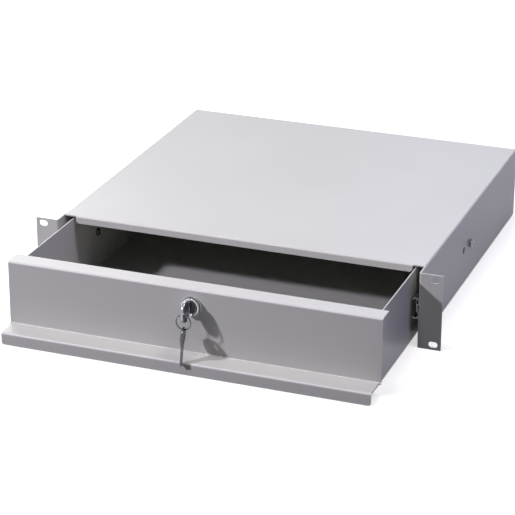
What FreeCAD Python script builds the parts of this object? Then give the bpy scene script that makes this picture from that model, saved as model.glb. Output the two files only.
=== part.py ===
"""Sliding drawer for a 19-inch rack, two height units, standing 125 mm open.

Millimetres. The origin is the middle of the four ear slots, on the ears' rear face, which bears on
the rack. +X is to the right seen from the front, +Y runs into the rack, +Z is up.
"""
import FreeCAD, Part
import math
import os

V = FreeCAD.Vector

# ---- Driving dimensions ----------------------------------------------------------------------

# Rack interface
panel_width = 482.6         # over both ears
panel_height = 88.1         # two height units
slot_from_end = 8.75        # slot centre to the ear's outer edge
slot_from_top = 5.95        # slot centre to the ear's top or bottom edge
slot_length = 10.5
slot_width = 7.0
ear_width = 25.3            # from the casing's side to the ear's outer edge

# Casing: one folded sheet, open at the front and below
casing_depth = 420.0        # behind the ears' rear face
casing_sheet = 1.5
bend_radius = 1.0           # inside radius of every sheet bend
top_setback = 18.5          # the top's front edge behind the ears' rear face
lip_height = 9.0            # the top's front edge is turned down
lip_inset = 15.0            # lip end to the casing's outside
lip_corner = 4.5
base_flange = 8.0           # the sides' lower edges are turned in
base_flange_start = 40.0
rear_flange = 12.0          # the rear panel's edges are turned forward

# Drawer position and travel
rest_opening = 125.0        # how far the drawer stands out as stored
full_travel = 280.0         # from closed to fully out
closed_gap = 0.5            # front flange to the casing's lip when closed

# Drawer front: ledge, face and top flange, folded from one sheet
front_sheet = 1.5
front_side_gap = 1.0        # to the casing's inside, each side
front_top_gap = 0.45        # below the casing's top
front_flange = 21.5         # the top flange, from the face backwards
ledge_height = 14.0         # from the drawer's lowest edge up to the ledge
ledge_depth = 27.7          # from the face forwards
ledge_inset = 2.3           # the ledge is shorter than the face at each end
ledge_corner = 3.0

# Drawer tray
tray_sheet = 1.2
tray_top_gap = 3.95         # below the casing's top
tray_ground_gap = 0.55      # above the casing's lower edge
tray_rear_gap = 42.0        # to the rear panel's inside when closed
tray_front_drop = 2.0       # the front wall's top edge below the sides'
tray_wall_flange = 12.0     # the rear wall's side flanges

# Ball slides
slide_gap = 9.5             # between the casing's inside and the tray's side
slide_z = 0.0               # the slides' middle height
slide_height = 25.0
rail_sheet = 1.2            # casing rail
drawer_rail_sheet = 1.0
ball_radius = 2.38
ball_clearance = 0.08       # ball to race
ball_offset = 4.55          # ball centre from the casing's inside
casing_race_start = 20.0    # the casing rail's race, from its lip, in degrees round the ball
casing_race_end = 120.0
race_half_angle = 30.0      # the drawer rail's race, each side of its lowest point
bead_height = 2.0           # the casing rail's middle is pressed in this far
bead_half_width = 4.2
bead_slope = 1.4
casing_rail_front = 3.5
casing_rail_rear_gap = 66.5
drawer_rail_length = 201.0
drawer_rail_rear_gap = 0.4  # to the buffer when closed
buffer_length = 4.0
buffer_side_gap = 1.0       # to the tray's side
cage_sheet = 0.6
cage_length = 60.0
cage_clearance = 0.25       # cage to casing rail
cage_stop_gap = 3.0         # cage to the casing rail's front end when fully out
balls_in_row = 5
ball_pitch = 12.0

# Slide fasteners
casing_screw_front = 38.0
casing_screw_middle = 206.0
access_hole_offset = 26.0   # the round hole in front of the middle screw
access_hole_radius = 5.0
drawer_screw_setback = 59.0     # first screw behind the drawer rail's front end
drawer_screw_pitch = 96.0
screw_radius = 2.5
screw_head_radius = 4.7
casing_screw_head_height = 3.8
drawer_screw_head_height = 2.6  # lower, as it stands in the tray
screw_hole_clearance = 0.3
thread_clearance = 0.02
drawer_screw_reach = 1.2    # beyond the drawer rail's web

# Studs and nuts that hold the front on the tray
stud_columns = (-182.0, -64.0, 64.0, 182.0)
stud_height = 45.5          # above the drawer's lowest edge
stud_radius = 2.0
stud_length = 8.0
nut_flats = 7.0
nut_height = 3.2

# Cam lock
lock_x = 2.5
lock_drop = 18.6            # below the front's top edge
lock_head_radius = 10.75
lock_head_projection = 7.0
lock_head_edge = 1.0
lock_barrel_radius = 9.0
lock_barrel_flats = 16.0
lock_recess_depth = 1.2
lock_hole_clearance = 0.15
lock_nut_flats = 24.0
lock_nut_height = 4.0
washer_radius = 12.5
washer_sheet = 1.0
plug_face_radius = 7.0
plug_face_height = 2.0
plug_radius = 6.0
plug_clearance = 0.08
plug_post = 6.0
keyway_width = 2.4
keyway_height = 8.0
keyway_depth = 22.5
cam_sheet = 2.0
cam_half_width = 6.0
cam_hub_radius = 8.0
cam_tip_radius = 3.0
cam_lip_gap = 0.5           # cam to the back of the casing's lip
cam_running_gap = 0.25      # cam to the end of the lock's barrel
cam_top_gap = 1.2           # cam tip to the underside of the top when locked
cam_screw_radius = 2.0
cam_screw_head_radius = 4.5
cam_screw_head_height = 2.2
cam_screw_depth = 7.0

# Keys and ring
key_sheet = 2.0
key_blade_width = 7.4
key_blade_length = 21.0
key_collar_width = 10.0
key_bow_length = 20.0
key_bow_width = 23.5
key_bow_start = 2.2         # shoulder to the bow's inner end
key_hole_radius = 2.2
key_hole_from_end = 4.0
key_bites = (1.0, 1.8, 0.6, 1.4)     # depths of the notches, from the tip
key_bite_half_width = 0.8
key_seat_gap = 0.2
ring_radius = 8.2           # to the middle of the wire
ring_wire_radius = 0.65
ring_gap = 0.2              # wire to the edge of a key's hole
spare_tilt = 12.0           # the spare key leans out over the ledge
spare_turn = 12.0           # and is turned on the ring

# ---- Derived positions -----------------------------------------------------------------------

half_width = panel_width / 2 - ear_width
inner_half_width = half_width - casing_sheet
top_z = panel_height / 2
base_z = -panel_height / 2
top_underside = top_z - casing_sheet
rear_inside = casing_depth - casing_sheet

closed_face_y = top_setback - closed_gap - front_flange
face_y = closed_face_y - rest_opening
front_half_width = inner_half_width - front_side_gap
front_top_z = top_z - front_top_gap
drawer_base_z = base_z + tray_ground_gap
ledge_z = drawer_base_z + ledge_height

tray_half_width = inner_half_width - slide_gap
tray_inner_half_width = tray_half_width - tray_sheet
tray_top_z = top_z - tray_top_gap
tray_front_y = face_y + front_sheet
tray_rear_y = rear_inside - tray_rear_gap - rest_opening
tray_floor_z = drawer_base_z + tray_sheet

race_radius = ball_radius + ball_clearance
ball_height = slide_height / 2 - rail_sheet - race_radius
casing_rail_length = casing_depth - casing_rail_front - casing_rail_rear_gap
casing_rail_rear = casing_rail_front + casing_rail_length
drawer_rail_rear = casing_rail_rear - buffer_length - drawer_rail_rear_gap - rest_opening
drawer_rail_front = drawer_rail_rear - drawer_rail_length
cage_front = casing_rail_front + cage_stop_gap + (full_travel - rest_opening) / 2

lock_z = front_top_z - lock_drop
lock_front_y = face_y - lock_head_projection
plug_front_y = lock_front_y + lock_recess_depth
cam_front_y = top_setback + casing_sheet + cam_lip_gap - rest_opening
cam_reach = top_underside - cam_top_gap - lock_z
key_shoulder_y = plug_front_y - key_seat_gap
key_bow_end = key_bow_start + key_bow_length
key_hole_offset = key_bow_end - key_hole_from_end
ring_y = key_shoulder_y - key_hole_offset
ring_top_z = lock_z - key_hole_radius + ring_wire_radius + ring_gap
ring_bottom_z = ring_top_z - 2 * ring_radius

cage_spread = (cage_clearance + cage_sheet) * math.tan(math.atan2(bead_height, bead_slope) / 2)

# ---- Working values --------------------------------------------------------------------------

rail_bend_radius = bend_radius / 2
over = 1.0                  # cutting tools run this far past the sheet
near_zero = 0.01            # for telling edges apart
no_length = 1e-6

# ---- Folded sheet ----------------------------------------------------------------------------


def rounded_path(points, radii):
    """Edges through flat points (a, b), with an arc of its own radius at each inner corner."""
    edges = []
    start = points[0]
    for before, corner, after, radius in zip(points, points[1:], points[2:], radii):
        into = V(corner - before).normalize()
        out = V(after - corner).normalize()
        half_turn = into.getAngle(out) / 2
        first = corner - into * (radius * math.tan(half_turn))
        last = corner + out * (radius * math.tan(half_turn))
        sag = V(out - into).normalize() * (radius / math.cos(half_turn) - radius)
        if (first - start).Length > no_length:
            edges.append((start, first))
        edges.append((first, corner + sag, last))
        start = last
    if (points[-1] - start).Length > no_length:
        edges.append((start, points[-1]))
    return edges


def offset_left(points, distance):
    """The same path moved to its left, with mitred corners."""
    moved = []
    for index, point in enumerate(points):
        sides = []
        if index > 0:
            sides.append(V(point - points[index - 1]).normalize())
        if index < len(points) - 1:
            sides.append(V(points[index + 1] - point).normalize())
        normals = [V(-side.y, side.x, 0) for side in sides]
        if len(normals) == 2:
            mitre = (normals[0] + normals[1]) / (1 + normals[0].dot(normals[1]))
        else:
            mitre = normals[0]
        moved.append(point + mitre * distance)
    return moved


def sheet_outline(path, thickness, inside_radii):
    """Closed outline of a bent sheet that lies to the left of a flat path."""
    points = [V(a, b, 0) for a, b in path]
    if not isinstance(inside_radii, (list, tuple)):
        inside_radii = [inside_radii] * (len(points) - 2)
    near = []
    far = []
    for before, corner, after, radius in zip(points, points[1:], points[2:], inside_radii):
        turns_left = (corner - before).cross(after - corner).z > 0
        near.append(radius + thickness if turns_left else radius)
        far.append(radius if turns_left else radius + thickness)
    moved = offset_left(points, thickness)
    outline = rounded_path(points, near)
    outline.append((points[-1], moved[-1]))
    outline += rounded_path(moved[::-1], far[::-1])
    outline.append((moved[0], points[0]))
    return outline


def across_x(a, b):
    """Section plane of a sheet that runs along X."""
    return V(0, a, b)


def across_y(a, b):
    """Section plane of a sheet that runs along Y."""
    return V(a, 0, b)


def across_z(a, b):
    """Section plane of a sheet that runs along Z."""
    return V(a, b, 0)


def solid_run(outline, plane, start, end):
    """Extrude a flat outline along the axis that its plane crosses."""
    axis = {across_x: V(1, 0, 0), across_y: V(0, 1, 0), across_z: V(0, 0, 1)}[plane]
    edges = []
    for piece in outline:
        placed = [plane(point.x, point.y) + axis * start for point in piece]
        curve = Part.LineSegment(*placed) if len(placed) == 2 else Part.Arc(*placed)
        edges.append(curve.toShape())
    return Part.Face(Part.Wire(edges)).extrude(axis * (end - start))


def bent_sheet(path, thickness, radii, plane, start, end):
    """A folded sheet from its section, path on one face and sheet to the left."""
    return solid_run(sheet_outline(path, thickness, radii), plane, start, end)


def wrap(centre, radius, first_angle, last_angle, pieces):
    """Path points whose rounded corners make one arc round a centre, end to end."""
    a, b = centre
    step = math.radians(last_angle - first_angle) / pieces
    points = []
    for index in range(pieces):
        middle = math.radians(first_angle) + step * (index + 0.5)
        reach = radius / math.cos(step / 2)
        points.append((a + reach * math.cos(middle), b + reach * math.sin(middle)))
    return points


def on_circle(centre, radius, angle):
    a, b = centre
    return (a + radius * math.cos(math.radians(angle)), b + radius * math.sin(math.radians(angle)))


# ---- Plain solids ----------------------------------------------------------------------------


def block(x, y, z):
    """A box from three (low, high) pairs."""
    return Part.makeBox(x[1] - x[0], y[1] - y[0], z[1] - z[0], V(x[0], y[0], z[0]))


def rod_y(x, z, radius, start, end):
    return Part.makeCylinder(radius, end - start, V(x, start, z), V(0, 1, 0))


def rod_x(y, z, radius, start, end):
    return Part.makeCylinder(radius, end - start, V(start, y, z), V(1, 0, 0))


def slot_y(x, z, length, width, start, end):
    """An obround hole tool along Y, long in X."""
    reach = (length - width) / 2
    tool = block((x - reach, x + reach), (start, end), (z - width / 2, z + width / 2))
    for side in (-1, 1):
        tool = tool.fuse(rod_y(x + side * reach, z, width / 2, start, end))
    return tool


def hexagon_y(x, z, flats, start, end):
    corner = flats / math.sqrt(3)
    points = []
    for index in range(7):
        angle = math.radians(60 * index)
        points.append(V(x + corner * math.cos(angle), start, z + corner * math.sin(angle)))
    return Part.Face(Part.makePolygon(points)).extrude(V(0, end - start, 0))


def round_edges(shape, radius, chosen):
    """Fillet the edges whose bounding box the chosen test picks."""
    return shape.makeFillet(radius, [edge for edge in shape.Edges if chosen(edge.BoundBox)])


def mirrored(shape):
    return shape.mirror(V(0, 0, 0), V(1, 0, 0))


def one_solid(shape):
    """The single clean solid of a boolean's result."""
    return shape.removeSplitter().Solids[0]


# ---- Casing ----------------------------------------------------------------------------------


def casing_shell():
    """Top, sides, turned-in lower edges, front lip and rack ears in one folded sheet."""
    channel_path = [
        (half_width, base_z),
        (half_width, top_z),
        (-half_width, top_z),
        (-half_width, base_z),
    ]
    shell = bent_sheet(channel_path, casing_sheet, bend_radius, across_y, top_setback, casing_depth)

    side_path = [
        (half_width, top_setback + bend_radius),
        (half_width, 0),
        (panel_width / 2, 0),
    ]
    side = bent_sheet(side_path[::-1], casing_sheet, bend_radius, across_z, base_z, top_z)
    flange_path = [
        (half_width - base_flange, base_z),
        (half_width, base_z),
        (half_width, base_z + 2 * base_flange),
    ]
    flange = bent_sheet(flange_path, casing_sheet, bend_radius, across_y, base_flange_start, casing_depth)
    # The bend is rounded outside, so the square lower corner of the side goes first.
    corner = block(
        (half_width - casing_sheet - bend_radius, half_width + over),
        (base_flange_start, casing_depth + over),
        (base_z - over, base_z + casing_sheet + bend_radius),
    )
    shell = shell.fuse(side).cut(corner).fuse(flange)
    shell = shell.fuse(mirrored(side)).cut(mirrored(corner)).fuse(mirrored(flange))

    lip_path = [
        (top_setback + 2 * lip_height, top_z),
        (top_setback, top_z),
        (top_setback, top_z - lip_height),
    ]
    lip_half_width = half_width - lip_inset
    lip = bent_sheet(lip_path, casing_sheet, bend_radius, across_x, -lip_half_width, lip_half_width)
    lip = round_edges(
        lip,
        lip_corner,
        lambda box: box.YLength > casing_sheet - near_zero
        and box.XLength < near_zero
        and box.ZMax < top_z - lip_height + near_zero,
    )
    # Over the lip the top's square front edge gives way to the bend.
    bend_room = block(
        (-lip_half_width, lip_half_width),
        (top_setback - over, top_setback + casing_sheet + bend_radius),
        (top_z - casing_sheet - bend_radius, top_z + over),
    )
    shell = shell.cut(bend_room).fuse(lip)

    slot_x = panel_width / 2 - slot_from_end
    slot_run = (-casing_sheet - over, over)
    tools = []
    for slot_z in (base_z + slot_from_top, top_z - slot_from_top):
        tools.append(slot_y(slot_x, slot_z, slot_length, slot_width, *slot_run))
    side_run = (inner_half_width - over, half_width + over)
    for screw_y in (casing_screw_front, casing_screw_middle):
        tools.append(rod_x(screw_y, slide_z, screw_radius + screw_hole_clearance, *side_run))
    access_y = casing_screw_middle - access_hole_offset
    tools.append(rod_x(access_y, slide_z, access_hole_radius, *side_run))
    for tool in tools:
        shell = shell.cut(tool).cut(mirrored(tool))
    return one_solid(shell)


def rear_panel():
    """Closes the casing's rear: a plate with its side and top edges turned forward."""
    inner = inner_half_width
    channel_path = [
        (inner, rear_inside - rear_flange),
        (inner, casing_depth),
        (-inner, casing_depth),
        (-inner, rear_inside - rear_flange),
    ]
    # It stays clear of the casing's own bends, above and below.
    low = base_z + casing_sheet + bend_radius
    high = top_underside - bend_radius
    panel = bent_sheet(channel_path, casing_sheet, bend_radius, across_z, low, high)
    top_path = [
        (casing_depth, top_z - 2 * rear_flange),
        (casing_depth, top_underside),
        (rear_inside - rear_flange, top_underside),
    ]
    reach = inner - casing_sheet - bend_radius
    panel = panel.fuse(bent_sheet(top_path, casing_sheet, bend_radius, across_x, -reach, reach))
    return one_solid(panel)


# ---- Ball slides -----------------------------------------------------------------------------
# Slide sections are drawn as (u, v): u from the casing's inside towards the tray, v from the
# slides' middle height upwards. Only the right slide is drawn; the left one mirrors it.


def slide_sheet(upper_path, thickness, radii, start, end):
    """A rail or cage with one section above and below its middle, sheet right of its (u, v) path."""
    lower_path = [(u, -v) for u, v in reversed(upper_path)]
    # u runs against X, so what lies right of the path in (u, v) lies left of it in (x, z).
    section = [(inner_half_width - u, slide_z + v) for u, v in upper_path + lower_path]
    return bent_sheet(section, thickness, radii + radii[::-1], across_y, start, end)


def bead_points(face, spread):
    """The pressed-in middle of the casing rail, and of the cage that runs over it."""
    foot = bead_half_width + bead_slope
    return [(face, foot + spread), (face + bead_height, bead_half_width + spread)]


def casing_rail():
    """C rail: lip and race round the ball, shoulder, web and bead. Path on the ball's side."""
    centre = (ball_offset, ball_height)
    lip = on_circle(centre, race_radius, casing_race_start)
    arc = wrap(centre, race_radius, casing_race_start, casing_race_end, 2)
    u_end, v_end = on_circle(centre, race_radius, casing_race_end)
    slope = math.tan(math.radians(casing_race_end - 90.0))
    shoulder = (rail_sheet, v_end - (u_end - rail_sheet) * slope)
    upper = [lip] + arc + [shoulder] + bead_points(rail_sheet, 0.0)
    radii = [race_radius] * len(arc) + [rail_bend_radius] * 3
    rail = slide_sheet(upper, rail_sheet, radii, casing_rail_front, casing_rail_rear)
    tap_run = (tray_half_width, half_width)
    for screw_y in (casing_screw_front, casing_screw_middle):
        rail = rail.cut(rod_x(screw_y, slide_z, screw_radius + thread_clearance, *tap_run))
    return one_solid(rail)


def drawer_rail():
    """C rail on the tray: race under the ball, flange and web. Path on the ball's side."""
    centre = (ball_offset, ball_height)
    low = 270.0 - race_half_angle
    high = 270.0 + race_half_angle
    tip = on_circle(centre, race_radius, low)
    u_race, v_race = on_circle(centre, race_radius, high)
    rise = rail_bend_radius
    flange = (u_race + rise / math.tan(math.radians(race_half_angle)), v_race + rise)
    web = (slide_gap, v_race + rise)
    upper = [tip] + wrap(centre, race_radius, low, high, 1) + [flange, web]
    radii = [race_radius, rail_bend_radius, rail_bend_radius]
    rail = slide_sheet(upper, drawer_rail_sheet, radii, drawer_rail_front, drawer_rail_rear)
    tap_run = (tray_half_width - over, half_width)
    for screw_y in drawer_screw_places():
        rail = rail.cut(rod_x(screw_y, slide_z, screw_radius + thread_clearance, *tap_run))
    return one_solid(rail)


def drawer_screw_places():
    first = drawer_rail_front + drawer_screw_setback
    return (first, first + drawer_screw_pitch)


def ball_centres():
    first = cage_front + (cage_length - (balls_in_row - 1) * ball_pitch) / 2
    centres = []
    for index in range(balls_in_row):
        for side in (-1, 1):
            ball_y = first + index * ball_pitch
            centres.append(V(inner_half_width - ball_offset, ball_y, slide_z + side * ball_height))
    return centres


def ball_cage():
    """C strip between the rails, with a row of ball holes in each flange. Path on the tray's side."""
    web = rail_sheet + cage_clearance + cage_sheet
    flange_v = ball_height - cage_sheet / 2
    tip_u = ball_offset + race_radius + cage_sheet
    upper = [(tip_u, flange_v), (web, flange_v)] + bead_points(web, cage_spread)
    radii = [rail_bend_radius] * 3
    cage = slide_sheet(upper, cage_sheet, radii, cage_front, cage_front + cage_length)
    for centre in ball_centres():
        pocket = Part.makeCylinder(race_radius, 2 * cage_sheet, centre - V(0, 0, cage_sheet))
        cage = cage.cut(pocket)
    return one_solid(cage)


def balls():
    return Part.makeCompound([Part.makeSphere(ball_radius, centre) for centre in ball_centres()])


def rail_buffer():
    """Rubber stop in the rear end of a casing rail, where the closed drawer's rail comes to rest."""
    bead_face = inner_half_width - rail_sheet - bead_height
    reach = ball_height - race_radius
    return block(
        (tray_half_width + buffer_side_gap, bead_face),
        (casing_rail_rear - buffer_length, casing_rail_rear),
        (slide_z - reach, slide_z + reach),
    )


def pan_screw(seat, direction, head_height, length):
    """Pan-head screw: seat is where the head bears, direction points out of the head."""
    head = Part.makeCylinder(screw_head_radius, head_height, seat, direction)
    head = head.makeFillet(head_height / 2, [head.Edges[0]])
    shank = Part.makeCylinder(screw_radius, length, seat, direction * -1)
    return one_solid(head.fuse(shank))


def casing_rail_screws():
    length = casing_sheet + bead_height + rail_sheet
    screws = []
    for side in (-1, 1):
        for screw_y in (casing_screw_front, casing_screw_middle):
            seat = V(side * half_width, screw_y, slide_z)
            screws.append(pan_screw(seat, V(side, 0, 0), casing_screw_head_height, length))
    return Part.makeCompound(screws)


def drawer_rail_screws():
    length = tray_sheet + drawer_rail_sheet + drawer_screw_reach
    screws = []
    for side in (-1, 1):
        for screw_y in drawer_screw_places():
            seat = V(side * tray_inner_half_width, screw_y, slide_z)
            screws.append(pan_screw(seat, V(-side, 0, 0), drawer_screw_head_height, length))
    return Part.makeCompound(screws)


# ---- Drawer ----------------------------------------------------------------------------------


def lock_barrel(clearance, start, end):
    """The barrel with two flats that keep it from turning, or its hole with a clearance."""
    radius = lock_barrel_radius + clearance
    reach = lock_barrel_flats / 2 + clearance
    between_flats = block(
        (lock_x - reach, lock_x + reach),
        (start, end),
        (lock_z - radius, lock_z + radius),
    )
    return rod_y(lock_x, lock_z, radius, start, end).common(between_flats)


def stud_places():
    return [(column, drawer_base_z + stud_height) for column in stud_columns]


def drawer_front():
    """Ledge with turned-down edge, face and top flange, with weld studs behind the face."""
    front_path = [
        (face_y + front_flange, front_top_z),
        (face_y, front_top_z),
        (face_y, ledge_z),
        (face_y - ledge_depth, ledge_z),
        (face_y - ledge_depth, drawer_base_z),
    ]
    front = bent_sheet(front_path, front_sheet, bend_radius, across_x, -front_half_width, front_half_width)
    ledge_half_width = front_half_width - ledge_inset
    for side in (-1, 1):
        ends = sorted((side * ledge_half_width, side * (front_half_width + over)))
        depth = (face_y - ledge_depth - over, face_y - bend_radius)
        front = front.cut(block(ends, depth, (base_z, ledge_z + over)))
    front = round_edges(
        front,
        ledge_corner,
        lambda box: abs(box.YLength - front_sheet) < near_zero
        and box.XLength < near_zero
        and box.ZMax < drawer_base_z + near_zero,
    )
    back_y = face_y + front_sheet
    front = front.cut(lock_barrel(lock_hole_clearance, face_y - over, back_y + over))
    stud_run = (back_y - front_sheet / 2, back_y + stud_length)
    for stud_x, stud_z in stud_places():
        front = front.fuse(rod_y(stud_x, stud_z, stud_radius, *stud_run))
    return one_solid(front)


def drawer_tray():
    """Open tray: floor, sides and front wall bent up, corners welded."""
    def body(margin, radius, top):
        low = drawer_base_z + margin
        reach = tray_half_width - margin
        shape = block((-reach, reach), (tray_front_y + margin, tray_rear_y + margin), (low, top))
        # The floor's side and front edges are bends; its rear edge is plain.
        return round_edges(
            shape,
            radius,
            lambda box: box.ZMax < low + near_zero and box.YMin < tray_rear_y - over,
        )

    outer = body(0.0, bend_radius + tray_sheet, tray_top_z)
    inner = body(tray_sheet, bend_radius, tray_top_z + over)
    tray = outer.cut(inner)
    wall = (tray_front_y - over, tray_front_y + tray_sheet + over)
    notch = block(
        (-tray_inner_half_width, tray_inner_half_width),
        wall,
        (tray_top_z - tray_front_drop, tray_top_z + over),
    )
    tray = tray.cut(notch)
    tray = tray.cut(lock_barrel(lock_hole_clearance, *wall))
    for stud_x, stud_z in stud_places():
        tray = tray.cut(rod_y(stud_x, stud_z, stud_radius + screw_hole_clearance, *wall))
    for side in (-1, 1):
        ends = sorted((side * (tray_inner_half_width - over), side * (tray_half_width + over)))
        for screw_y in drawer_screw_places():
            tray = tray.cut(rod_x(screw_y, slide_z, screw_radius + screw_hole_clearance, *ends))
    return one_solid(tray)


def tray_rear_wall():
    """The tray's rear wall, its side flanges welded inside the sides."""
    inner = tray_inner_half_width
    wall_path = [
        (inner, tray_rear_y - tray_wall_flange),
        (inner, tray_rear_y),
        (-inner, tray_rear_y),
        (-inner, tray_rear_y - tray_wall_flange),
    ]
    low = tray_floor_z + bend_radius
    wall = bent_sheet(wall_path, tray_sheet, bend_radius, across_z, low, tray_top_z)
    foot = block(
        (bend_radius - inner, inner - bend_radius),
        (tray_rear_y - tray_sheet, tray_rear_y),
        (tray_floor_z, low + over),
    )
    return one_solid(wall.fuse(foot))


def front_nuts():
    nuts = []
    seat = tray_front_y + tray_sheet
    top = seat + nut_height
    for stud_x, stud_z in stud_places():
        nut = hexagon_y(stud_x, stud_z, nut_flats, seat, top)
        bore = rod_y(stud_x, stud_z, stud_radius + thread_clearance, seat - over, top + over)
        nuts.append(nut.cut(bore))
    return Part.makeCompound(nuts)


# ---- Lock ------------------------------------------------------------------------------------


def lock_housing():
    """Round head in front of the face, flatted barrel through it, bored for the plug."""
    head = rod_y(lock_x, lock_z, lock_head_radius, lock_front_y, face_y)
    head = round_edges(head, lock_head_edge, lambda box: box.YMax < lock_front_y + near_zero)
    barrel_end = cam_front_y - cam_running_gap
    housing = head.fuse(lock_barrel(0.0, face_y - over, barrel_end))
    recess_run = (lock_front_y - over, plug_front_y + plug_face_height + plug_clearance)
    housing = housing.cut(rod_y(lock_x, lock_z, plug_face_radius + plug_clearance, *recess_run))
    bore_run = (lock_front_y, barrel_end + over)
    housing = housing.cut(rod_y(lock_x, lock_z, plug_radius + plug_clearance, *bore_run))
    return one_solid(housing)


def lock_washer():
    seat = tray_front_y + tray_sheet
    disc = rod_y(lock_x, lock_z, washer_radius, seat, seat + washer_sheet)
    return one_solid(disc.cut(lock_barrel(lock_hole_clearance, seat - over, seat + washer_sheet + over)))


def lock_nut():
    seat = tray_front_y + tray_sheet + washer_sheet
    top = seat + lock_nut_height
    nut = hexagon_y(lock_x, lock_z, lock_nut_flats, seat, top)
    bore_radius = lock_barrel_radius + thread_clearance
    return one_solid(nut.cut(rod_y(lock_x, lock_z, bore_radius, seat - over, top + over)))


def bar_y(width, height, start, end):
    """A square bar along the lock's axis."""
    return block(
        (lock_x - width / 2, lock_x + width / 2),
        (start, end),
        (lock_z - height / 2, lock_z + height / 2),
    )


def lock_plug():
    """Turning plug with its face, keyway and the square post that carries the cam."""
    plug = rod_y(lock_x, lock_z, plug_face_radius, plug_front_y, plug_front_y + plug_face_height)
    plug = plug.fuse(rod_y(lock_x, lock_z, plug_radius, plug_front_y, cam_front_y))
    cam_rear_y = cam_front_y + cam_sheet
    plug = plug.fuse(bar_y(plug_post, plug_post, cam_front_y - over, cam_rear_y))
    keyway_end = plug_front_y + keyway_depth
    plug = plug.cut(bar_y(keyway_width, keyway_height, plug_front_y - over, keyway_end))
    thread_run = (cam_rear_y - cam_screw_depth, cam_rear_y + over)
    thread = rod_y(lock_x, lock_z, cam_screw_radius + thread_clearance, *thread_run)
    return one_solid(plug.cut(thread))


def lock_cam():
    """Flat cam on the plug's post: it points left when unlocked, and up behind the lip when locked."""
    start = cam_front_y
    end = cam_front_y + cam_sheet
    tip_x = lock_x - cam_reach
    arm = block((tip_x, lock_x), (start, end), (lock_z - cam_half_width, lock_z + cam_half_width))
    arm = round_edges(
        arm,
        cam_tip_radius,
        lambda box: box.XMax < tip_x + near_zero and box.ZLength < near_zero,
    )
    hole_size = plug_post + 2 * thread_clearance
    hole = bar_y(hole_size, hole_size, start - over, end + over)
    return one_solid(rod_y(lock_x, lock_z, cam_hub_radius, start, end).fuse(arm).cut(hole))


def cam_screw():
    seat = cam_front_y + cam_sheet
    head = rod_y(lock_x, lock_z, cam_screw_head_radius, seat, seat + cam_screw_head_height)
    shank = rod_y(lock_x, lock_z, cam_screw_radius, seat - cam_screw_depth, seat)
    return one_solid(head.fuse(shank))


# ---- Keys ------------------------------------------------------------------------------------


def key_blank():
    """A flat key, blade along +Y from its shoulder at the origin, bow along -Y."""
    half = key_sheet / 2
    centre = V(-half, -(key_bow_start + key_bow_length / 2), 0)
    oval = Part.Ellipse(centre + V(0, 0, key_bow_width / 2), centre + V(0, key_bow_length / 2, 0), centre)
    bow = Part.Face(Part.Wire([oval.toShape()])).extrude(V(key_sheet, 0, 0))
    collar_reach = key_bow_start + key_bow_length / 4
    collar = block((-half, half), (-collar_reach, 0), (-key_collar_width / 2, key_collar_width / 2))
    edge = key_blade_width / 2
    tip = key_blade_length
    outline = [
        (-collar_reach, -edge),
        (tip - edge, -edge),
        (tip, 0),
        (tip - edge / 2, edge),
    ]
    # Notches along the blade's upper edge.
    bite_pitch = (tip - edge) / (len(key_bites) + 1)
    for index, depth in enumerate(key_bites):
        middle = tip - edge - bite_pitch * (index + 0.5)
        outline.append((middle + key_bite_half_width, edge))
        outline.append((middle, edge - depth))
        outline.append((middle - key_bite_half_width, edge))
    outline.append((-collar_reach, edge))
    points = [V(-half, a, b) for a, b in outline + outline[:1]]
    blade = Part.Face(Part.makePolygon(points)).extrude(V(key_sheet, 0, 0))
    hole = rod_x(-key_hole_offset, 0, key_hole_radius, -key_sheet, key_sheet)
    return one_solid(bow.fuse(collar).fuse(blade).cut(hole))


def key():
    blank = key_blank()
    blank.translate(V(lock_x, key_shoulder_y, lock_z))
    return blank


def key_ring():
    centre = V(lock_x, ring_y, ring_top_z - ring_radius)
    return Part.makeTorus(ring_radius, ring_wire_radius, centre, V(0, 1, 0))


def spare_key():
    """The second key hangs on the ring, blade down, leaning out over the ledge."""
    blank = key_blank()
    blank.translate(V(0, key_hole_offset, 0))
    blank.rotate(V(0, 0, 0), V(1, 0, 0), -90)
    blank.translate(V(0, 0, ring_wire_radius + ring_gap - key_hole_radius))
    blank.rotate(V(0, 0, 0), V(0, 0, 1), spare_turn)
    blank.rotate(V(0, 0, 0), V(1, 0, 0), -spare_tilt)
    blank.translate(V(lock_x, ring_y, ring_bottom_z))
    return blank


# ---- Nodes -----------------------------------------------------------------------------------


def nodes():
    right_rail = casing_rail()
    right_drawer_rail = drawer_rail()
    right_cage = ball_cage()
    right_balls = balls()
    right_buffer = rail_buffer()
    return {
        "casing_shell": casing_shell(),
        "rear_panel": rear_panel(),
        "casing_rail_right": right_rail,
        "casing_rail_left": mirrored(right_rail),
        "casing_rail_screws": casing_rail_screws(),
        "rail_buffers": Part.makeCompound([right_buffer, mirrored(right_buffer)]),
        "ball_cage_right": right_cage,
        "ball_cage_left": mirrored(right_cage),
        "balls_right": right_balls,
        "balls_left": mirrored(right_balls),
        "drawer_front": drawer_front(),
        "drawer_tray": drawer_tray(),
        "tray_rear_wall": tray_rear_wall(),
        "front_nuts": front_nuts(),
        "drawer_rail_right": right_drawer_rail,
        "drawer_rail_left": mirrored(right_drawer_rail),
        "drawer_rail_screws": drawer_rail_screws(),
        "lock_housing": lock_housing(),
        "lock_washer": lock_washer(),
        "lock_nut": lock_nut(),
        "lock_plug": lock_plug(),
        "lock_cam": lock_cam(),
        "cam_screw": cam_screw(),
        "key": key(),
        "key_ring": key_ring(),
        "spare_key": spare_key(),
    }


os.makedirs("parts", exist_ok=True)
for name, shape in nodes().items():
    shape.exportStep("parts/" + name + ".step")
    print(name, "solids", len(shape.Solids), "volume", round(shape.Volume, 1), "valid", shape.isValid())
print("drawer slide from", -rest_opening, "to", full_travel - rest_opening)
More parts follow.
